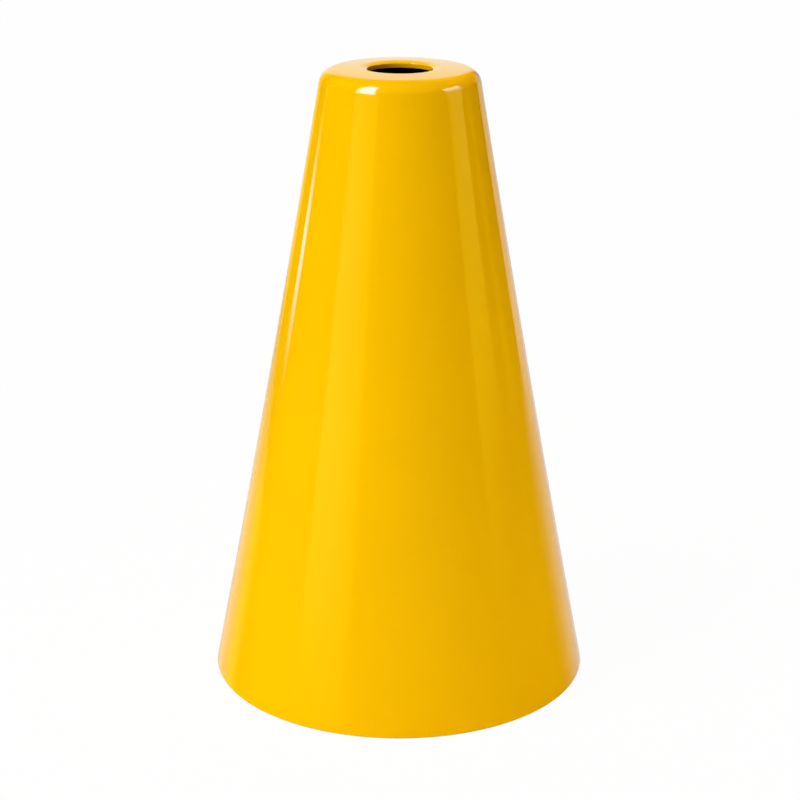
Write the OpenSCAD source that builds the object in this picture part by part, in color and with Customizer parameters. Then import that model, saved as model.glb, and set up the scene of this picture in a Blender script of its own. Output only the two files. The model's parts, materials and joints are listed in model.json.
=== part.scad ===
// Spun metal cone: one sheet, drawn from a wide open rim up to a small domed crown with a round hole.
// The cone stands on its rim, the rim lies in the plane z = 0 and the axis of the cone is the Z axis.

/* [Cone] */
// Outside diameter of the wall, carried on as a sharp corner to the plane of the rim
base_d = 62.2; // [50:0.1:80]
// Height from the rim to the top of the crown
height = 101; // [80:0.5:130]
// Outside diameter of the wall, carried on as a sharp corner to the top of the crown
crown_d = 24.8; // [20:0.1:32]
// How far the middle of the wall is drawn in from a straight line
wall_bow = 0.36; // [0:0.02:1]

/* [Sheet] */
// Thickness of the sheet, with its enamel
sheet = 1.1; // [0.8:0.05:1.5]
// Outside radius of the bend between the wall and the crown
shoulder_r = 2.5; // [1.8:0.1:4]
// Rounding of both edges of the trimmed rim
rim_edge_r = 0.25; // [0.05:0.05:0.35]

/* [Crown] */
// Outside radius of the shallow dome of the crown
dome_r = 170; // [100:5:400]

/* [Hole] */
// Diameter of the hole in the crown
hole_d = 10.3; // [6:0.1:12]
// Radius over which the punch has drawn the crown down towards the hole
lip_r = 3; // [1:0.1:3.5]
// Slope of the drawn-down crown at the edge of the hole, in degrees
lip_slope = 26; // [10:1:30]
// Rounding of the upper edge of the hole
hole_edge_r = 0.12; // [0.05:0.01:0.3]
// Rounding of the lower edge of the hole
hole_burr_r = 0.1; // [0.05:0.05:0.2]

/* [Hidden] */

enamel_yellow = [0.98, 0.76, 0.03];

base_r = base_d / 2;
crown_r = crown_d / 2;
hole_r = hole_d / 2;

// Steps along each stretch of the section, and round the axis
wall_steps = 20;
shoulder_steps = 20;
dome_steps = 6;
lip_steps = 12;
edge_steps = 6;
turn_steps = 180;

// Passes that settle the height at which the wall runs into a bend
tangent_passes = 8;

// Directions in the section, as angles from the outward radius
up = 90;
inward = 180;
down = 270;

// Outside radius of the wall at height z: a straight taper, drawn in by a parabola
function wall_r(z) =
    let (share = z / height)
    base_r + (crown_r - base_r) * share - 4 * wall_bow * share * (1 - share);

// Angle of the wall's outward normal above the horizontal at height z
function wall_lean(z) =
    let (share = z / height)
    atan((base_r - crown_r + 4 * wall_bow * (1 - 2 * share)) / height);

// Point at a depth below the outside of the wall, measured along the normal at height z
function wall_point(z, depth) =
    [wall_r(z), z] - depth * [cos(wall_lean(z)), sin(wall_lean(z))];

// Height on the wall whose point at that depth lies at the level asked for
function wall_height_at(level, depth, z, passes) =
    passes == 0 ? z : wall_height_at(level, depth, level + depth * sin(wall_lean(z)), passes - 1);

// Points along an arc, both ends included
function arc(centre, r, from, to, steps) =
    [for (i = [0:steps])
        let (a = from + (to - from) * i / steps)
        centre + r * [cos(a), sin(a)]];

// Points along an arc that runs on from the last point, so its first one is left out
function arc_on(centre, r, from, to, steps) =
    [for (i = [1:steps])
        let (a = from + (to - from) * i / steps)
        centre + r * [cos(a), sin(a)]];

// Points along the wall at a depth, between two heights, both ends left out
function wall_run(from, to, depth) =
    [for (i = [1:wall_steps - 1]) wall_point(from + (to - from) * i / wall_steps, depth)];

// Lip: the drawn-down edge of the hole, whose top is the top of the crown
lip_c = [hole_r + hole_edge_r + (lip_r - hole_edge_r) * sin(lip_slope), height - lip_r];
hole_top_c = lip_c + (lip_r - hole_edge_r) * [-sin(lip_slope), cos(lip_slope)];

// Dome of the crown, which the lip touches from inside
dome_c = [0, lip_c[1] - sqrt(pow(dome_r - lip_r, 2) - pow(lip_c[0], 2))];

// Height of the crown at a radius and at a depth below the outside of the dome
function dome_z(r, depth) = dome_c[1] + sqrt(pow(dome_r - depth, 2) - pow(r, 2));

// Direction of a point from the centre of the dome
function dome_turn(point) = atan2(point[1] - dome_c[1], point[0] - dome_c[0]);

// Points along the dome at a depth, between two directions, both ends left out
function dome_run(from, to, depth) =
    [for (i = [1:dome_steps - 1])
        let (a = from + (to - from) * i / dome_steps)
        dome_c + (dome_r - depth) * [cos(a), sin(a)]];

// Height on the wall at which a bend of that radius touches both the wall and the dome
function bend_height(r, z, passes) =
    passes == 0 ? z
    : bend_height(r, dome_z(wall_point(z, r)[0], r) + r * sin(wall_lean(z)), passes - 1);

// Shoulder bend: both faces of the sheet turn about one centre
shoulder_z = bend_height(shoulder_r, height - shoulder_r, tangent_passes);
shoulder_c = wall_point(shoulder_z, shoulder_r);
shoulder_lean = wall_lean(shoulder_z);

// Lower edge of the hole, which touches the underside of the dome
hole_low_r = hole_r + hole_burr_r;
hole_low_c = [hole_low_r, dome_z(hole_low_r, sheet - hole_burr_r)];

// Outer edge of the rim
rim_out_z = wall_height_at(rim_edge_r, rim_edge_r, rim_edge_r, tangent_passes);
rim_out_c = wall_point(rim_out_z, rim_edge_r);

// Inner edge of the rim
rim_in_depth = sheet - rim_edge_r;
rim_in_z = wall_height_at(rim_edge_r, rim_in_depth, rim_edge_r, tangent_passes);
rim_in_c = wall_point(rim_in_z, rim_in_depth);

// Directions at which the dome meets the shoulder bend, the lip and the lower edge of the hole
dome_out = dome_turn(shoulder_c);
dome_in = dome_turn(lip_c);
dome_low = dome_turn(hole_low_c);

// Closed section of the sheet: up the outside, over the crown, through the hole and down the inside
section = concat(
    arc(rim_out_c, rim_edge_r, -up, wall_lean(rim_out_z), edge_steps),
    wall_run(rim_out_z, shoulder_z, 0),
    arc(shoulder_c, shoulder_r, shoulder_lean, dome_out, shoulder_steps),
    dome_run(dome_out, dome_in, 0),
    arc(lip_c, lip_r, dome_in, up + lip_slope, lip_steps),
    arc_on(hole_top_c, hole_edge_r, up + lip_slope, inward, edge_steps),
    arc(hole_low_c, hole_burr_r, inward, inward + dome_low, edge_steps),
    dome_run(dome_low, dome_out, sheet),
    arc(shoulder_c, shoulder_r - sheet, dome_out, shoulder_lean, shoulder_steps),
    wall_run(shoulder_z, rim_in_z, sheet),
    arc(rim_in_c, rim_edge_r, inward + wall_lean(rim_in_z), down, edge_steps)
);

module spun_cone() {
    color(enamel_yellow)
        rotate_extrude($fn = turn_steps)
            polygon(section);
}

spun_cone();
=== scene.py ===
"""A spun metal cone in glossy yellow enamel, on a pale floor in soft studio light."""

import json
import math

import bpy
import numpy as np
from mathutils import Matrix, Vector


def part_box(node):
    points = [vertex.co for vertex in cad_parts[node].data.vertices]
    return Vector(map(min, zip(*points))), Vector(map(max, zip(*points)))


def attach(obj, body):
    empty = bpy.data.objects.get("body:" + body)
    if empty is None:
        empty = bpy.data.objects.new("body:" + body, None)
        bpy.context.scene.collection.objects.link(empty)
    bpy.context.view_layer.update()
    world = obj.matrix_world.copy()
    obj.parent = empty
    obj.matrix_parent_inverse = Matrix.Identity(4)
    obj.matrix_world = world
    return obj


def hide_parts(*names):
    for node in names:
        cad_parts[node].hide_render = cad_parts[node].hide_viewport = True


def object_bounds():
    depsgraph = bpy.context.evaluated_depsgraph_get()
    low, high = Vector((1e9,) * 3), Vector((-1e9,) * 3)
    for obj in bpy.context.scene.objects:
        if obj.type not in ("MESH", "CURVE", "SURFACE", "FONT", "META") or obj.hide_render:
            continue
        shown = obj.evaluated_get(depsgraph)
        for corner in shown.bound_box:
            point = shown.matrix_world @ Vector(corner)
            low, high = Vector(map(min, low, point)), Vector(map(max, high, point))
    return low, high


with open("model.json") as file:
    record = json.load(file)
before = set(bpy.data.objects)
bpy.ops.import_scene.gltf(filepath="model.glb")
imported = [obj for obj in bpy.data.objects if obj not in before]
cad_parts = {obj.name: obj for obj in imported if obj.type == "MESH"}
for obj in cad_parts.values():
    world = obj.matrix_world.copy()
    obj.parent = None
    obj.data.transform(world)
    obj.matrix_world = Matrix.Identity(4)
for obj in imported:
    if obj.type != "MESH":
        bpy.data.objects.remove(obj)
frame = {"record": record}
cad_low, cad_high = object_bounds()

bl_info = {
    "name": "Spun Metal Cone",
    "version": (1, 0, 0),
    "blender": (4, 5, 0),
    "location": "3D View > Sidebar > Spun Cone",
    "description": "Makes a spun sheet-metal cone, enamels it and sets up the studio that it stands in",
    "category": "Object",
}

NODE = "spun_cone"
BODY = "root"
MM = 0.001
WHITE = (1.0, 1.0, 1.0, 1.0)

# Directions in the section of the sheet, as angles from the outward radius
UP = 0.5 * math.pi
INWARD = math.pi
DOWN = 1.5 * math.pi

# Mean level of noise, and the levels between which it fills in as a cloud in the enamel
MEAN_NOISE = 0.5
CLOUD_LEVELS = (0.35, 0.65)

# Stretch of a cut rim edge that is painted dark: partly thin enamel, partly painted contact shade where
# the rim meets the floor
THINNING_AND_SHADE = (0.2, 0.8)

# Directions further to the left than this count as behind the cone, on past 180 degrees
BEHIND = -math.radians(100)


def mount(name):
    """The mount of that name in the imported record."""
    return next(m for m in frame["record"]["mounts"] if m["name"] == name)


# Lamps that light the paint. Directions are in degrees, seen from the cone: azimuth 0 is towards the
# camera and grows to the right. The level is what a white surface that faces the lamp shows of it.
LAMPS = (
    dict(name="key_softbox", azimuth=-60, elevation=40, distance=2.0, width=1.1, height=1.7,
         level=0.586, colour=(0.955, 1.0, 0.97)),
    dict(name="top_softbox", azimuth=0, elevation=86, distance=1.5, width=1.0, height=1.0,
         level=0.28, colour=(1.0, 0.94, 0.9)),
    dict(name="back_softbox", azimuth=180, elevation=6, distance=1.5, width=1.2, height=0.8,
         level=0.35, colour=(1.0, 1.0, 0.98)),
    dict(name="right_bounce", azimuth=85, elevation=-15, distance=0.15, width=0.15, height=0.02,
         level=0.175, colour=(1.0, 0.9, 0.75)),
    dict(name="front_bounce", azimuth=18, elevation=-4, distance=0.3, width=0.3, height=0.06,
         level=0.125, colour=(0.95, 1.0, 0.85)),
    dict(name="left_bounce", azimuth=-70, elevation=-15, distance=0.15, width=0.15, height=0.02,
         level=0.135, colour=(0.8, 1.0, 0.9)),
)

# What the gloss mirrors: patches of brightness in the dark studio, by direction from the cone, in
# degrees. A patch runs from start to end in azimuth and from bottom to top in elevation. A slant moves
# it sideways as it rises, and fade is half the width of the fade at its start, its end, its foot and
# its head. Directions past 180 are behind the cone, on its left.
CARDS = (
    # Softbox on the left, and what shines below it
    dict(name="key_cloth", start=-64.5, end=-33.2, bottom=10.3, top=60, slant=-0.2,
         fade=(1.5, 1.5, 0.5, 6.0), radiance=7.0, colour=(1.0, 1.0, 1.0)),
    dict(name="key_core", start=-58, end=-38, bottom=16, top=56, slant=-0.2,
         fade=(4.0, 4.0, 7.0, 5.0), radiance=12.0, colour=(1.0, 1.0, 1.0)),
    dict(name="key_bulb", start=-50, end=-42, bottom=28, top=50, slant=-0.2,
         fade=(3.0, 3.0, 4.0, 4.0), radiance=50.0, colour=(1.0, 1.0, 1.0)),
    dict(name="key_skirt", start=-68.3, end=-34.1, bottom=-7, top=10.3, slant=0.22,
         fade=(0.5, 0.5, 5.0, 0.5), radiance=1.1, colour=(1.0, 1.0, 0.03)),
    dict(name="key_haze", start=-67.8, end=-45, bottom=-4, top=7, slant=0.22,
         fade=(0.5, 12.0, 4.0, 4.0), radiance=0.14, colour=(1.0, 1.0, 1.0)),
    # Softbox on the right, and what shines below it
    dict(name="fill_cloth", start=67.8, end=99, bottom=19, top=34.2, slant=0.12,
         fade=(1.0, 6.0, 14.5, 1.5), radiance=7.6, colour=(1.0, 0.95, 0.88)),
    dict(name="fill_skirt", start=69.8, end=94.6, bottom=-4, top=9, slant=0.0,
         fade=(0.5, 0.5, 4.0, 1.0), radiance=1.3, colour=(1.0, 0.9, 0.02)),
    dict(name="fill_haze", start=78, end=94.6, bottom=3, top=11, slant=0.0,
         fade=(10.0, 0.5, 6.0, 3.0), radiance=0.36, colour=(1.0, 0.95, 0.9)),
    # Warm ceiling all round, and the pale backdrop
    dict(name="ceiling", start=-180, end=360, bottom=30, top=100, slant=0.0,
         fade=(5.0, 5.0, 18.0, 5.0), radiance=1.4, colour=(1.0, 0.6, 0.02)),
    dict(name="sweep", start=169, end=198, bottom=7.5, top=32, slant=0.0,
         fade=(4.0, 5.0, 4.5, 16.0), radiance=1.12, colour=(1.0, 0.99, 0.77)),
    dict(name="low_sweep", start=167, end=198, bottom=0, top=7.5, slant=0.0,
         fade=(4.0, 5.0, 2.0, 4.5), radiance=1.05, colour=(0.94, 1.0, 1.0)),
    dict(name="backdrop_foot", start=162, end=198, bottom=-40, top=0, slant=0.0,
         fade=(4.0, 5.0, 8.0, 2.0), radiance=0.8, colour=(1.0, 1.0, 1.0)),
    dict(name="hole_glint", start=174, end=186, bottom=-14, top=0, slant=0.0,
         fade=(3.0, 3.0, 3.0, 2.0), radiance=0.6, colour=(1.0, 1.0, 1.0)),
    # Right half of the studio
    dict(name="right_wall", start=138.2, end=162, bottom=-11, top=12, slant=0.0,
         fade=(1.3, 4.0, 1.0, 5.0), radiance=0.63, colour=(1.0, 1.0, 1.0)),
    dict(name="right_floor", start=135, end=162, bottom=-40, top=-10.8, slant=0.0,
         fade=(17.0, 4.0, 8.0, 1.0), radiance=0.72, colour=(1.0, 1.0, 1.0)),
    dict(name="right_shine", start=100, end=142, bottom=-40, top=-7, slant=0.0,
         fade=(6.0, 6.0, 8.0, 4.0), radiance=0.2, colour=(1.0, 0.85, 0.02)),
    dict(name="right_rim_shine", start=139.5, end=153, bottom=-12, top=10, slant=0.0,
         fade=(2.0, 5.0, 4.0, 5.0), radiance=0.3, colour=(1.0, 0.62, 0.0)),
    dict(name="right_stripe", start=111.6, end=118.1, bottom=-7.5, top=12, slant=-0.8,
         fade=(1.5, 0.6, 1.0, 3.0), radiance=0.42, colour=(1.0, 0.9, 0.0)),
    dict(name="right_shoulder_shine", start=102, end=170, bottom=11, top=54, slant=0.0,
         fade=(8.0, 5.0, 5.0, 10.0), radiance=1.35, colour=(1.0, 0.36, 0.0)),
    # Left half of the studio
    dict(name="left_floor", start=199, end=222, bottom=-40, top=-14, slant=0.0,
         fade=(5.0, 22.0, 8.0, 4.0), radiance=0.6, colour=(1.0, 0.84, 0.88)),
    dict(name="left_floor_edge", start=199, end=230, bottom=-40, top=-12.1, slant=0.0,
         fade=(5.0, 14.0, 8.0, 0.5), radiance=0.3, colour=(1.0, 1.0, 0.6)),
    dict(name="left_floor_shine", start=226, end=238, bottom=-40, top=-12.1, slant=0.0,
         fade=(6.0, 5.0, 8.0, 0.5), radiance=0.5, colour=(1.0, 1.0, 0.0)),
    dict(name="left_shine", start=196, end=211, bottom=-12, top=12, slant=0.0,
         fade=(5.0, 4.0, 1.0, 8.0), radiance=0.9, colour=(1.0, 0.62, 0.2)),
    dict(name="left_rim_shine", start=201, end=223, bottom=-12, top=12, slant=0.0,
         fade=(4.0, 5.0, 1.0, 8.0), radiance=0.45, colour=(1.0, 0.5, 0.0)),
    dict(name="left_shoulder_shine", start=196, end=212, bottom=12, top=24, slant=0.0,
         fade=(3.0, 4.0, 4.0, 4.0), radiance=0.55, colour=(1.0, 1.0, 0.0)),
    dict(name="left_strip", start=-128.1, end=-121.5, bottom=-7.0, top=-3.7, slant=0.35,
         fade=(1.2, 1.2, 2.2, 1.8), radiance=4.8, colour=(0.9, 0.68, 1.0)),
    dict(name="left_strip_head", start=-127, end=-120, bottom=-4, top=14, slant=0.35,
         fade=(1.2, 1.2, 2.0, 6.0), radiance=0.6, colour=(1.0, 0.95, 0.1)),
)


class ShellProperties(bpy.types.PropertyGroup):
    """Sizes of the spun sheet."""

    base_diameter: bpy.props.FloatProperty(
        name="Base",
        description="Outside diameter of the wall, carried on to the plane of the rim",
        default=62.2 * MM,
        unit="LENGTH",
    )
    height: bpy.props.FloatProperty(
        name="Height",
        description="Height from the rim to the top of the crown",
        default=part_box(NODE)[1].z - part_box(NODE)[0].z,
        unit="LENGTH",
    )
    crown_diameter: bpy.props.FloatProperty(
        name="Crown",
        description="Outside diameter of the wall, carried on to the top of the crown",
        default=24.8 * MM,
        unit="LENGTH",
    )
    wall_bow: bpy.props.FloatProperty(
        name="Bow",
        description="How far the middle of the wall is drawn in from a straight line",
        default=0.36 * MM,
        unit="LENGTH",
    )
    sheet: bpy.props.FloatProperty(
        name="Sheet",
        description="Thickness of the sheet, with its enamel",
        default=1.1 * MM,
        unit="LENGTH",
    )
    shoulder_radius: bpy.props.FloatProperty(
        name="Shoulder",
        description="Outside radius of the bend between the wall and the crown",
        default=2.5 * MM,
        unit="LENGTH",
    )
    rim_edge_radius: bpy.props.FloatProperty(
        name="Rim edge",
        description="Rounding of both edges of the trimmed rim",
        default=0.25 * MM,
        unit="LENGTH",
    )
    dome_radius: bpy.props.FloatProperty(
        name="Dome",
        description="Outside radius of the shallow dome of the crown",
        default=170 * MM,
        unit="LENGTH",
    )
    hole_diameter: bpy.props.FloatProperty(
        name="Hole",
        description="Diameter of the hole in the crown",
        default=2 * mount("crown_hole")["dims"]["r_mm"] * MM,
        unit="LENGTH",
    )
    lip_radius: bpy.props.FloatProperty(
        name="Lip",
        description="Radius over which the punch has drawn the crown down towards the hole",
        default=3.0 * MM,
        unit="LENGTH",
    )
    lip_slope: bpy.props.FloatProperty(
        name="Lip slope",
        description="Slope of the drawn-down crown at the edge of the hole",
        default=math.radians(26),
        subtype="ANGLE",
    )
    hole_edge_radius: bpy.props.FloatProperty(
        name="Hole edge",
        description="Rounding of the upper edge of the hole",
        default=0.12 * MM,
        unit="LENGTH",
    )
    hole_burr_radius: bpy.props.FloatProperty(
        name="Hole burr",
        description="Rounding of the lower edge of the hole",
        default=0.1 * MM,
        unit="LENGTH",
    )
    turn_steps: bpy.props.IntProperty(
        name="Turn steps",
        description="Steps round the axis",
        default=288,
        min=24,
    )


class EnamelProperties(bpy.types.PropertyGroup):
    """Colours and gloss of the enamel, and of the primer inside."""

    colour: bpy.props.FloatVectorProperty(
        name="Colour",
        description="Colour of the enamel",
        default=(0.95, 0.512, 0.0004),
        size=3,
        min=0,
        max=1,
        subtype="COLOR",
    )
    # Mostly painted contact shade: a dark colour on the cut rim edges stands in for the shadow line
    # where the rim meets the floor, with some thin enamel
    thin_and_shade_colour: bpy.props.FloatVectorProperty(
        name="Thin colour",
        description="Colour where the enamel draws thin over a sharp edge",
        default=(0.2, 0.11, 0.02),
        size=3,
        min=0,
        max=1,
        subtype="COLOR",
    )
    # How much of that painted contact shade and thin enamel shows on the cut rim edges
    thin_and_shade_share: bpy.props.FloatProperty(
        name="Thin share",
        description="How much of the thin colour shows on a cut edge",
        default=0.95,
        min=0,
        max=1,
        subtype="FACTOR",
    )
    deep_tone: bpy.props.FloatProperty(
        name="Deep tone",
        description="Brightness of the deeper enamel between the clouds, as a share of the colour",
        default=0.96,
        min=0,
        max=1,
        subtype="FACTOR",
    )
    cloud_share: bpy.props.FloatProperty(
        name="Cloud share",
        description="How far the clouds lift the colour from its deep tone",
        default=0.6,
        min=0,
        max=1,
        subtype="FACTOR",
    )
    cloud_length: bpy.props.FloatProperty(
        name="Cloud length",
        description="Length of one cloud in the enamel",
        default=24.0 * MM,
        unit="LENGTH",
    )
    fleck_share: bpy.props.FloatProperty(
        name="Fleck share",
        description="How far the flecks lift the colour from its deep tone",
        default=0.2,
        min=0,
        max=1,
        subtype="FACTOR",
    )
    fleck_length: bpy.props.FloatProperty(
        name="Fleck length",
        description="Length of one fleck in the enamel and in the overspray",
        default=0.9 * MM,
        unit="LENGTH",
    )
    primer: bpy.props.FloatVectorProperty(
        name="Primer",
        description="Colour of the dark primer inside",
        default=(0.11, 0.034, 0.024),
        size=3,
        min=0,
        max=1,
        subtype="COLOR",
    )
    worn_tone: bpy.props.FloatProperty(
        name="Worn tone",
        description="Brightness of the primer on the spinning rings, in times its colour",
        default=1.8,
        min=0,
    )
    refraction: bpy.props.FloatProperty(
        name="Refraction",
        description="Refractive index of the enamel, which sets how strongly it mirrors",
        default=1.5,
        min=1,
    )
    roughness: bpy.props.FloatProperty(
        name="Roughness",
        description="Roughness of the glossy outside",
        default=0.035,
        min=0,
        max=1,
        subtype="FACTOR",
    )
    gloss_sway: bpy.props.FloatProperty(
        name="Gloss sway",
        description="How much the clouds sway the roughness, as a share of it",
        default=0.3,
        min=0,
        max=1,
        subtype="FACTOR",
    )
    primer_roughness: bpy.props.FloatProperty(
        name="Primer roughness",
        description="Roughness of the dull inside",
        default=0.5,
        min=0,
        max=1,
        subtype="FACTOR",
    )
    peel_height: bpy.props.FloatProperty(
        name="Orange peel",
        description="Height of the ripple that the enamel dried with",
        default=0.001 * MM,
        unit="LENGTH",
        precision=6,
    )
    peel_length: bpy.props.FloatProperty(
        name="Peel length",
        description="Length of one ripple",
        default=1.6 * MM,
        unit="LENGTH",
    )
    ring_pitch: bpy.props.FloatProperty(
        name="Spinning rings",
        description="Spacing of the rings that the spinning tool left inside",
        default=0.7 * MM,
        unit="LENGTH",
    )
    ring_depth: bpy.props.FloatProperty(
        name="Ring depth",
        description="Depth of those rings",
        default=0.02 * MM,
        unit="LENGTH",
        precision=5,
    )
    overspray: bpy.props.FloatProperty(
        name="Overspray",
        description="Height up to which the enamel has drifted in at the rim",
        default=9.0 * MM,
        unit="LENGTH",
    )
    full_overspray: bpy.props.FloatProperty(
        name="Full overspray",
        description="Height up to which the drifted enamel hides the primer",
        default=1.8 * MM,
        unit="LENGTH",
    )


class LampProperties(bpy.types.PropertyGroup):
    """One soft lamp that lights the paint."""

    azimuth: bpy.props.FloatProperty(
        name="Azimuth",
        description="Direction round the cone, from the camera's side to the right",
        default=0.0,
        subtype="ANGLE",
    )
    elevation: bpy.props.FloatProperty(
        name="Elevation",
        description="Direction above the horizon",
        default=math.radians(45),
        subtype="ANGLE",
    )
    distance: bpy.props.FloatProperty(
        name="Distance",
        description="Distance from the middle of the cone",
        default=1.0,
        unit="LENGTH",
    )
    width: bpy.props.FloatProperty(
        name="Width",
        description="Width of the cloth",
        default=1.0,
        unit="LENGTH",
    )
    height: bpy.props.FloatProperty(
        name="Height",
        description="Height of the cloth",
        default=1.0,
        unit="LENGTH",
    )
    level: bpy.props.FloatProperty(
        name="Level",
        description="Brightness of a white surface that faces the lamp, where 1 is white",
        default=0.5,
        min=0,
    )
    colour: bpy.props.FloatVectorProperty(
        name="Colour",
        description="Colour of the light",
        default=WHITE[:3],
        size=3,
        min=0,
        max=1,
        subtype="COLOR",
    )


class CardProperties(bpy.types.PropertyGroup):
    """One patch of brightness that the gloss mirrors."""

    start: bpy.props.FloatProperty(
        name="Start",
        description="Azimuth of the side where the patch starts",
        default=math.radians(-10),
        subtype="ANGLE",
    )
    end: bpy.props.FloatProperty(
        name="End",
        description="Azimuth of the side where the patch ends",
        default=math.radians(10),
        subtype="ANGLE",
    )
    bottom: bpy.props.FloatProperty(
        name="Bottom",
        description="Elevation of the foot",
        default=0.0,
        subtype="ANGLE",
    )
    top: bpy.props.FloatProperty(
        name="Top",
        description="Elevation of the head",
        default=math.radians(20),
        subtype="ANGLE",
    )
    slant: bpy.props.FloatProperty(
        name="Slant",
        description="Move in azimuth for each step in elevation",
        default=0.0,
    )
    fade: bpy.props.FloatVectorProperty(
        name="Fade",
        description="Half the width of the fade at the start, the end, the foot and the head",
        default=(math.radians(2),) * 4,
        size=4,
        unit="ROTATION",
    )
    radiance: bpy.props.FloatProperty(
        name="Radiance",
        description="Brightness, where 1 is white",
        default=1.0,
        min=0,
    )
    colour: bpy.props.FloatVectorProperty(
        name="Colour",
        description="Colour of the patch",
        default=WHITE[:3],
        size=3,
        min=0,
        max=1,
        subtype="COLOR",
    )


class StudioProperties(bpy.types.PropertyGroup):
    """The camera, the floor and the even light."""

    ambient: bpy.props.FloatVectorProperty(
        name="Ambient",
        description="Light from all round on the paint",
        default=(0.21, 0.165, 0.15),
        size=3,
        subtype="COLOR",
    )
    floor_size: bpy.props.FloatProperty(
        name="Floor",
        description="Side of the square floor",
        default=6.0,
        unit="LENGTH",
    )
    floor_drop: bpy.props.FloatProperty(
        name="Floor drop",
        description="How far the floor lies below the rim, so that the two don't touch",
        default=0.02 * MM,
        unit="LENGTH",
        precision=5,
    )
    floor_tone: bpy.props.FloatProperty(
        name="Floor tone",
        description="Share of the light that the pale floor gives back",
        default=0.8,
        subtype="FACTOR",
    )
    floor_glow: bpy.props.FloatProperty(
        name="Floor glow",
        description="Share of the floor that the camera sees as plain white, the rest takes the shadow",
        default=0.97,
        subtype="FACTOR",
    )
    camera_distance: bpy.props.FloatProperty(
        name="Camera distance",
        description="Distance of the camera from the axis of the cone",
        default=324.34 * MM,
        unit="LENGTH",
    )
    camera_height: bpy.props.FloatProperty(
        name="Camera height",
        description="Height of the camera above the floor",
        default=155.95 * MM,
        unit="LENGTH",
    )
    camera_tilt: bpy.props.FloatProperty(
        name="Camera tilt",
        description="How far the camera looks down",
        default=math.radians(18.732),
        subtype="ANGLE",
    )
    camera_roll: bpy.props.FloatProperty(
        name="Camera roll",
        description="Turn of the camera about its line of sight",
        default=math.radians(0.117),
        subtype="ANGLE",
    )
    camera_lens: bpy.props.FloatProperty(
        name="Lens",
        description="Focal length of the lens",
        default=93.475,
        unit="CAMERA",
    )
    camera_frame: bpy.props.FloatProperty(
        name="Frame",
        description="Width of the frame behind the lens",
        default=36.0,
        unit="CAMERA",
    )
    camera_near: bpy.props.FloatProperty(
        name="Near limit",
        description="Distance from which the camera sees",
        default=10.0 * MM,
        unit="LENGTH",
    )
    camera_shift: bpy.props.FloatProperty(
        name="Shift",
        description="Sideways shift of the picture, as a share of its width",
        default=0.00068,
        precision=5,
    )


class Value:
    """An output socket. One that gives a number takes part in arithmetic by adding Math nodes."""

    def __init__(self, graph, socket):
        self.graph = graph
        self.socket = socket

    def math(self, operation, *others):
        """This value and others through a Math node."""
        sockets = dict(enumerate((self, *others)))
        return self.graph.value("ShaderNodeMath", {"operation": operation}, sockets)

    def __add__(self, other):
        return self.math("ADD", other)

    __radd__ = __add__

    def __mul__(self, other):
        return self.math("MULTIPLY", other)

    __rmul__ = __mul__

    def __sub__(self, other):
        return self.math("SUBTRACT", other)

    def __rsub__(self, other):
        return self.graph.value("ShaderNodeMath", {"operation": "SUBTRACT"}, {0: other, 1: self})

    def step(self, low, high):
        """0 below low, 1 above high and a smooth step between."""
        settings = {"interpolation_type": "SMOOTHSTEP"}
        sockets = {"Value": self, "From Min": low, "From Max": high}
        return self.graph.value("ShaderNodeMapRange", settings, sockets)


class Graph:
    """A node tree that is emptied and filled again."""

    def __init__(self, owner):
        owner.use_nodes = True
        self.tree = owner.node_tree
        self.tree.nodes.clear()

    def node(self, kind, settings=None, sockets=None):
        """A node of that type: its settings are set first, then each socket gets its value or link."""
        made = self.tree.nodes.new(kind)
        for name, setting in (settings or {}).items():
            setattr(made, name, setting)
        for name, given in (sockets or {}).items():
            if isinstance(given, Value):
                self.tree.links.new(given.socket, made.inputs[name])
            else:
                made.inputs[name].default_value = given
        return made

    def value(self, kind, settings=None, sockets=None, output=0):
        """One output of such a node."""
        return Value(self, self.node(kind, settings, sockets).outputs[output])

    def values(self, kind, sockets, outputs):
        """Several outputs of one such node."""
        made = self.node(kind, None, sockets)
        return [Value(self, made.outputs[name]) for name in outputs]

    def mix(self, share, first, second):
        """The colour first where share is 0 and second where it is 1."""
        sockets = {0: share, 6: first, 7: second}
        return self.value("ShaderNodeMix", {"data_type": "RGBA"}, sockets, 2)

    def vector(self, operation, sockets):
        """A Vector Math node."""
        return self.value("ShaderNodeVectorMath", {"operation": operation}, sockets)


def rgba(colour):
    """A colour with full cover."""
    return (*colour, 1.0)


def direction(azimuth, elevation):
    """Unit vector from the cone: azimuth 0 is towards the camera, along -Y, and grows to the right."""
    level = math.cos(elevation)
    return Vector((level * math.sin(azimuth), -level * math.cos(azimuth), math.sin(elevation)))


def arc(centre, radius, start, end, steps):
    """Points on a circle about centre, from the angle start to the angle end, both ends included."""
    angle = np.linspace(start, end, steps + 1)
    return np.asarray(centre) + radius * np.stack([np.cos(angle), np.sin(angle)], 1)


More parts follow.
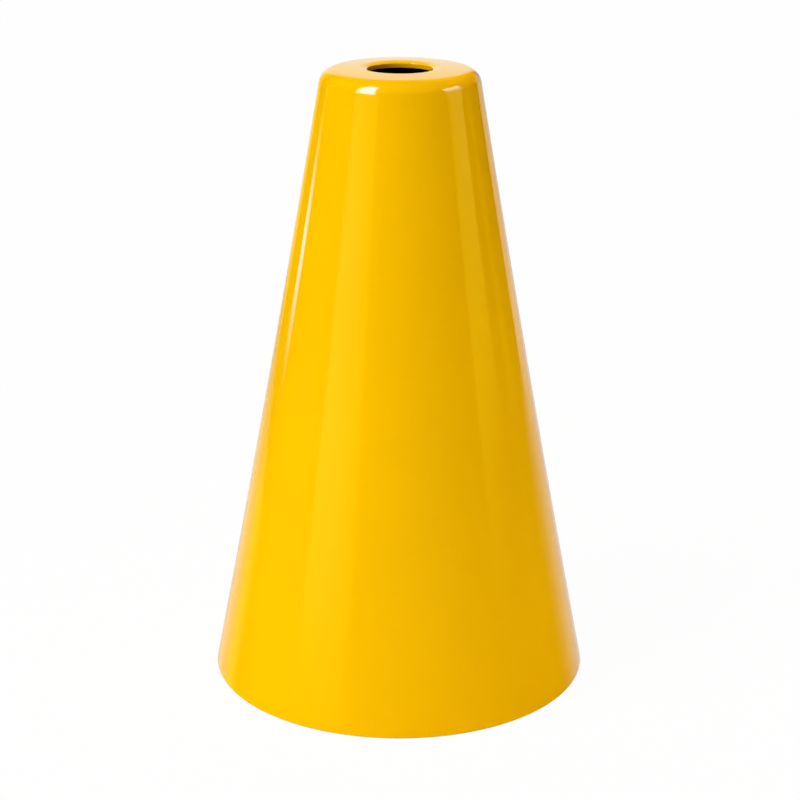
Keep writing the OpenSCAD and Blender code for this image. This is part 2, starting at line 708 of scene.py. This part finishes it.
class SheetSection:
    """The section of the spun sheet, as radius and height.

    At the share s = z / height, the outside of the wall has the radius
    r(z) = base + (crown - base) s - 4 bow s (1 - s): a straight taper, drawn in by a parabola.
    The crown is a shallow dome about a point on the axis. The shoulder bend touches the wall and the
    dome, and the lip of the hole touches the dome and tops it. Each point below the outside lies along
    the normal there, so the sheet keeps its thickness.
    """

    WALL_STEPS = 48
    SHOULDER_STEPS = 36
    DOME_STEPS = 10
    LIP_STEPS = 24
    EDGE_STEPS = 10
    TANGENT_PASSES = 8

    def __init__(self, sizes):
        self.sizes = sizes
        self.height = sizes.height
        self.base = sizes.base_diameter / 2
        self.crown = sizes.crown_diameter / 2
        self.hole = sizes.hole_diameter / 2
        reach = sizes.lip_radius - sizes.hole_edge_radius
        lip_r = self.hole + sizes.hole_edge_radius + reach * math.sin(sizes.lip_slope)
        self.lip = np.array([lip_r, self.height - sizes.lip_radius])
        self.slope = UP + sizes.lip_slope
        self.hole_top = self.lip + reach * np.array([math.cos(self.slope), math.sin(self.slope)])
        self.dome_z = self.lip[1] - math.sqrt((sizes.dome_radius - sizes.lip_radius) ** 2 - lip_r ** 2)

    def radius(self, z):
        """Outside radius of the wall."""
        share = z / self.height
        drawn_in = 4 * self.sizes.wall_bow * share * (1 - share)
        return self.base + (self.crown - self.base) * share - drawn_in

    def lean(self, z):
        """Angle of the wall's outward normal above the horizontal."""
        share = z / self.height
        drawn_in = 4 * self.sizes.wall_bow * (1 - 2 * share)
        return np.arctan((self.base - self.crown + drawn_in) / self.height)

    def point(self, z, depth):
        """Points at a depth below the outside of the wall."""
        lean = self.lean(z)
        return np.stack([self.radius(z) - depth * np.cos(lean), z - depth * np.sin(lean)], -1)

    def rim_height(self, depth):
        """Height on the wall whose point at that depth is the centre of a rounded rim edge."""
        z = self.sizes.rim_edge_radius
        for _ in range(self.TANGENT_PASSES):
            z = self.sizes.rim_edge_radius + depth * np.sin(self.lean(z))
        return z

    def bend_height(self, bend):
        """Height on the wall at which a bend of that radius touches both the wall and the dome."""
        z = self.height - bend
        for _ in range(self.TANGENT_PASSES):
            z = self.crown_height(self.point(z, bend)[0], bend) + bend * np.sin(self.lean(z))
        return z

    def crown_height(self, radius, depth):
        """Height of the crown at a radius and at a depth below the outside of the dome."""
        return self.dome_z + math.sqrt((self.sizes.dome_radius - depth) ** 2 - radius ** 2)

    def dome_turn(self, point):
        """Direction of a point from the centre of the dome."""
        return math.atan2(point[1] - self.dome_z, point[0])

    def wall_run(self, start, end, depth):
        """Points along the wall at a depth, both ends left out."""
        return self.point(np.linspace(start, end, self.WALL_STEPS + 1)[1:-1], depth)

    def dome_run(self, start, end, depth):
        """Points along the dome at a depth, both ends left out."""
        return arc((0, self.dome_z), self.sizes.dome_radius - depth, start, end, self.DOME_STEPS)[1:-1]

    def outline(self):
        """Closed section: up the outside, over the crown, through the hole and down the inside.

        Returns the points and, for each, whether it is bare of enamel and how far it is on a cut edge.
        """
        s = self.sizes
        rim, bend, sheet = s.rim_edge_radius, s.shoulder_radius, s.sheet
        bend_z = self.bend_height(bend)
        bend_c = self.point(bend_z, bend)
        bend_lean = self.lean(bend_z)
        out_z = self.rim_height(rim)
        in_z = self.rim_height(sheet - rim)
        low_r = self.hole + s.hole_burr_radius
        hole_low = (low_r, self.crown_height(low_r, sheet - s.hole_burr_radius))
        dome_out, dome_in, dome_low = (self.dome_turn(p) for p in (bend_c, self.lip, hole_low))
        edge, turn = self.EDGE_STEPS, self.SHOULDER_STEPS
        cut = np.linspace(0, 1, edge + 1)
        stretches = (
            (arc(self.point(out_z, rim), rim, -UP, self.lean(out_z), edge), 0, cut[::-1]),
            (self.wall_run(out_z, bend_z, 0), 0, 0),
            (arc(bend_c, bend, bend_lean, dome_out, turn), 0, 0),
            (self.dome_run(dome_out, dome_in, 0), 0, 0),
            (arc(self.lip, s.lip_radius, dome_in, self.slope, self.LIP_STEPS), 0, 0),
            (arc(self.hole_top, s.hole_edge_radius, self.slope, INWARD, edge)[1:], 0, 0),
            (arc(hole_low, s.hole_burr_radius, INWARD, INWARD + dome_low, edge), 0, 0),
            (self.dome_run(dome_low, dome_out, sheet), 1, 0),
            (arc(bend_c, bend - sheet, dome_out, bend_lean, turn), 1, 0),
            (self.wall_run(bend_z, in_z, sheet), 1, 0),
            (arc(self.point(in_z, sheet - rim), rim, INWARD + self.lean(in_z), DOWN, edge), 1, cut),
        )
        points = np.concatenate([p for p, _, _ in stretches])
        bare = np.concatenate([np.full(len(p), b, np.float32) for p, b, _ in stretches])
        edges = np.concatenate([np.full(len(p), e, np.float32) for p, _, e in stretches])
        return points, bare, edges


def turned(points, steps):
    """Corners and faces of a closed section carried round the Z axis.

    Corner (i, j) is (r_i sin t_j, -r_i cos t_j, z_i) with t_j = 2 pi j / steps. The grid closes on
    itself both ways, so there is no seam and no pole.
    """
    turn = np.arange(steps) * (2 * math.pi / steps)
    radius = points[:, :1]
    x = radius * np.sin(turn)
    y = -radius * np.cos(turn)
    z = np.broadcast_to(points[:, 1:], x.shape)
    corners = np.stack([x, y, z], -1).reshape(-1, 3)
    index = np.arange(x.size).reshape(x.shape)
    beside = np.roll(index, -1, 1)
    faces = np.stack([index, beside, np.roll(beside, -1, 0), np.roll(index, -1, 0)], -1)
    return corners, faces.reshape(-1, 4)


def mesh_object(name, corners, faces):
    """A smooth mesh object at the origin, with its place in its mesh."""
    mesh = bpy.data.meshes.new(name)
    mesh.from_pydata(corners, [], faces)
    mesh.shade_smooth()
    made = bpy.data.objects.new(name, mesh)
    bpy.context.scene.collection.objects.link(made)
    return made


def mark(piece, name, values):
    """Keeps one number for each corner as an attribute that materials can read."""
    attribute = piece.data.attributes.new(name, "FLOAT", "POINT")
    attribute.data.foreach_set("value", np.ascontiguousarray(values, np.float32))


def enamel_material(enamel):
    """Glossy enamel over the outside and the edges, dull dark primer with spinning rings inside.

    The enamel is slightly cloudy and has a fine orange peel. Its cut rim edges are painted dark, partly
    for thin enamel and partly as painted contact shade where the rim meets the floor, and it drifts in
    over the primer at the rim.
    """
    material = bpy.data.materials.new("yellow_enamel")
    graph = Graph(material)
    place = graph.value("ShaderNodeTexCoord", output="Object")
    (height,) = graph.values("ShaderNodeSeparateXYZ", {0: place}, ["Z"])
    bare = graph.value("ShaderNodeAttribute", {"attribute_name": "bare"}, output="Fac")
    edge = graph.value("ShaderNodeAttribute", {"attribute_name": "edge"}, output="Fac")

    def noise(length, detail):
        """Even noise, with one swell to a length."""
        sockets = {"Vector": place, "Scale": 1 / length, "Detail": detail}
        return graph.value("ShaderNodeTexNoise", None, sockets)

    cloud = noise(enamel.cloud_length, detail=2.0)
    fleck = noise(enamel.fleck_length, detail=1.0)
    rings = graph.value(
        "ShaderNodeTexNoise",
        {"noise_dimensions": "1D"},
        {"W": height * (1 / enamel.ring_pitch), "Scale": 1.0, "Detail": 2.0},
    )
    drift = height + (fleck - MEAN_NOISE) * enamel.overspray
    primed = bare * drift.step(enamel.full_overspray, enamel.overspray)

    full = rgba(enamel.colour)
    deep = rgba(enamel.deep_tone * c for c in enamel.colour)
    thin_and_shade = rgba(enamel.thin_and_shade_colour)
    primer = rgba(enamel.primer)
    worn = rgba(enamel.worn_tone * c for c in enamel.primer)
    lift = cloud.step(*CLOUD_LEVELS) * enamel.cloud_share + fleck * enamel.fleck_share
    body = graph.mix(lift, deep, full)
    # Painted shade: the cut rim edges are mixed towards the dark colour, as contact shade under the rim
    # as well as thin enamel
    painted = graph.mix(edge.step(*THINNING_AND_SHADE) * enamel.thin_and_shade_share, body, thin_and_shade)
    colour = graph.mix(primed, painted, graph.mix(rings, primer, worn))

    gloss = enamel.roughness * (1 + (cloud - MEAN_NOISE) * enamel.gloss_sway)
    rough = gloss + primed * (enamel.primer_roughness - enamel.roughness)
    peel = noise(enamel.peel_length, detail=1.0)
    ripple = peel + primed * rings * (enamel.ring_depth / enamel.peel_height)
    bump = graph.value(
        "ShaderNodeBump", None, {"Strength": 1.0, "Distance": enamel.peel_height, "Height": ripple}
    )
    surface = graph.value(
        "ShaderNodeBsdfPrincipled",
        None,
        {"Base Color": colour, "Roughness": rough, "IOR": enamel.refraction, "Normal": bump},
    )
    graph.node("ShaderNodeOutputMaterial", None, {"Surface": surface})
    return material


def floor_material(studio):
    """Pale floor: plain white to the camera but for the shadow, and a pale bounce for the paint."""
    material = bpy.data.materials.new("pale_floor")
    graph = Graph(material)
    camera = graph.value("ShaderNodeLightPath", output="Is Camera Ray")
    tone = rgba((studio.floor_tone,) * 3)
    pale = graph.value("ShaderNodeBsdfDiffuse", None, {"Color": tone})
    white = graph.value("ShaderNodeEmission", None, {"Color": WHITE, "Strength": 1.0})
    seen = graph.value(
        "ShaderNodeMixShader", None, {0: camera * studio.floor_glow, 1: pale, 2: white}
    )
    graph.node("ShaderNodeOutputMaterial", None, {"Surface": seen})
    return material


def card_light(graph, card, azimuth, elevation):
    """What one card adds: its colour inside its edges, in the direction given by two angles."""
    turn = azimuth - (elevation - card.bottom) * card.slant
    start, end, foot, head = card.fade
    inside = turn.step(card.start - start, card.start + start)
    inside = inside * (1 - turn.step(card.end - end, card.end + end))
    inside = inside * elevation.step(card.bottom - foot, card.bottom + foot)
    inside = inside * (1 - elevation.step(card.top - head, card.top + head))
    return graph.vector("SCALE", {0: card.colour, "Scale": inside * card.radiance})


def studio_world(studio, cards):
    """White to the camera, even soft light on the paint, and the lit cards in the gloss."""
    world = bpy.data.worlds.new("studio")
    graph = Graph(world)
    looking = graph.value("ShaderNodeTexCoord", output="Generated")
    x, y, z = graph.values("ShaderNodeSeparateXYZ", {0: looking}, "XYZ")
    azimuth = x.math("ARCTAN2", 0 - y)
    behind = azimuth + 2 * math.pi * azimuth.math("LESS_THAN", BEHIND)
    elevation = z.math("ARCSINE")
    mirrored = (0.0, 0.0, 0.0)
    for card in cards:
        turn = behind if card.end > math.pi else azimuth
        mirrored = graph.vector("ADD", {0: mirrored, 1: card_light(graph, card, turn, elevation)})
    rays = ("Is Camera Ray", "Is Glossy Ray", "Is Transmission Ray")
    camera, glossy, through = graph.values("ShaderNodeLightPath", None, rays)
    even, lit, white = (
        graph.value("ShaderNodeBackground", None, {"Color": colour, "Strength": 1.0})
        for colour in (rgba(studio.ambient), mirrored, WHITE)
    )
    gloss = glossy.math("MAXIMUM", through)
    light = graph.value("ShaderNodeMixShader", None, {0: gloss, 1: even, 2: lit})
    seen = graph.value("ShaderNodeMixShader", None, {0: camera, 1: light, 2: white})
    graph.node("ShaderNodeOutputWorld", None, {"Surface": seen})
    return world


def add_floor(studio):
    """The pale floor, just below the rim. The gloss mirrors the cards instead of it."""
    half = studio.floor_size / 2
    side = np.array([(-1, -1), (1, -1), (1, 1), (-1, 1)]) * half
    corners = np.column_stack([side, np.full(4, -studio.floor_drop)])
    floor = mesh_object("floor", corners, [(0, 1, 2, 3)])
    floor.data.materials.append(floor_material(studio))
    floor.visible_glossy = False


def add_lamp(lamp, aim):
    """A soft lamp that lights the paint. The gloss mirrors the cards instead of it.

    At a distance d, an area lamp of the power 4 pi d^2 lights a white surface that faces it to white.
    """
    light = bpy.data.lights.new(lamp.name, "AREA")
    light.shape = "RECTANGLE"
    light.size = lamp.width
    light.size_y = lamp.height
    light.color = lamp.colour
    light.energy = 4 * math.pi * lamp.level * lamp.distance ** 2
    made = bpy.data.objects.new(lamp.name, light)
    away = direction(lamp.azimuth, lamp.elevation)
    made.location = aim + away * lamp.distance
    made.rotation_euler = away.to_track_quat("Z", "Y").to_euler()
    made.visible_camera = False
    made.visible_glossy = False
    bpy.context.scene.collection.objects.link(made)


def add_camera(studio):
    """The camera, looking along +Y and down at the cone."""
    camera = bpy.data.cameras.new("camera")
    camera.sensor_width = studio.camera_frame
    camera.lens = studio.camera_lens
    camera.shift_x = studio.camera_shift
    camera.clip_start = studio.camera_near
    made = bpy.data.objects.new("camera", camera)
    place = Matrix.Translation((0, -studio.camera_distance, studio.camera_height))
    tilt = Matrix.Rotation(math.pi / 2 - studio.camera_tilt, 4, "X")
    roll = Matrix.Rotation(studio.camera_roll, 4, "Z")
    made.matrix_world = place @ tilt @ roll
    bpy.context.scene.collection.objects.link(made)
    bpy.context.scene.camera = made


def filled(items, table):
    """The items of a collection, filled if it is empty from a table, whose angles are in degrees."""
    if not items:
        for values in table:
            item = items.add()
            for name, given in values.items():
                angle = item.bl_rna.properties[name].unit == "ROTATION"
                setattr(item, name, np.radians(given) if angle else given)
    return items


class CONE_OT_spin_shell(bpy.types.Operator):
    """Spins the sheet into the cone and enamels it."""

    bl_idname = "cone.spin_shell"
    bl_label = "Spin Shell"

    def execute(self, context):
        sizes = context.scene.cone_shell
        points, bare, edges = SheetSection(sizes).outline()
        corners, faces = turned(points, sizes.turn_steps)
        shell = mesh_object("spun_shell", corners, faces)
        mark(shell, "bare", np.repeat(bare, sizes.turn_steps))
        mark(shell, "edge", np.repeat(edges, sizes.turn_steps))
        shell.data.materials.append(enamel_material(context.scene.cone_enamel))
        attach(shell, BODY)
        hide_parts(NODE)
        return {"FINISHED"}


class CONE_OT_set_studio(bpy.types.Operator):
    """Lays the floor and sets the lamps, the world and the camera."""

    bl_idname = "cone.set_studio"
    bl_label = "Set Studio"

    def execute(self, context):
        scene = context.scene
        add_floor(scene.cone_studio)
        aim = (cad_low + cad_high) / 2
        for lamp in filled(scene.cone_lamps, LAMPS):
            add_lamp(lamp, aim)
        scene.world = studio_world(scene.cone_studio, filled(scene.cone_cards, CARDS))
        add_camera(scene.cone_studio)
        scene.view_settings.view_transform = "Standard"
        return {"FINISHED"}


class CONE_PT_workshop(bpy.types.Panel):
    """Lists the steps that make the cone and its studio."""

    bl_idname = "CONE_PT_workshop"
    bl_label = "Spun Metal Cone"
    bl_space_type = "VIEW_3D"
    bl_region_type = "UI"
    bl_category = "Spun Cone"

    def draw(self, context):
        for operator in OPERATORS:
            self.layout.operator(operator.bl_idname)


GROUPS = {
    "cone_shell": ShellProperties,
    "cone_enamel": EnamelProperties,
    "cone_studio": StudioProperties,
}
LISTS = {
    "cone_lamps": LampProperties,
    "cone_cards": CardProperties,
}
OPERATORS = (CONE_OT_spin_shell, CONE_OT_set_studio)
CLASSES = (*GROUPS.values(), *LISTS.values(), *OPERATORS, CONE_PT_workshop)


def register():
    """Registers the classes and gives each scene its settings."""
    for cls in CLASSES:
        bpy.utils.register_class(cls)
    for name, group in GROUPS.items():
        setattr(bpy.types.Scene, name, bpy.props.PointerProperty(type=group))
    for name, group in LISTS.items():
        setattr(bpy.types.Scene, name, bpy.props.CollectionProperty(type=group))


def unregister():
    """Takes the settings and the classes away again."""
    for name in (*LISTS, *GROUPS):
        delattr(bpy.types.Scene, name)
    for cls in reversed(CLASSES):
        bpy.utils.unregister_class(cls)


def main():
    """Makes the cone and its studio."""
    register()
    bpy.ops.cone.spin_shell()
    bpy.ops.cone.set_studio()


if __name__ == "__main__":
    main()
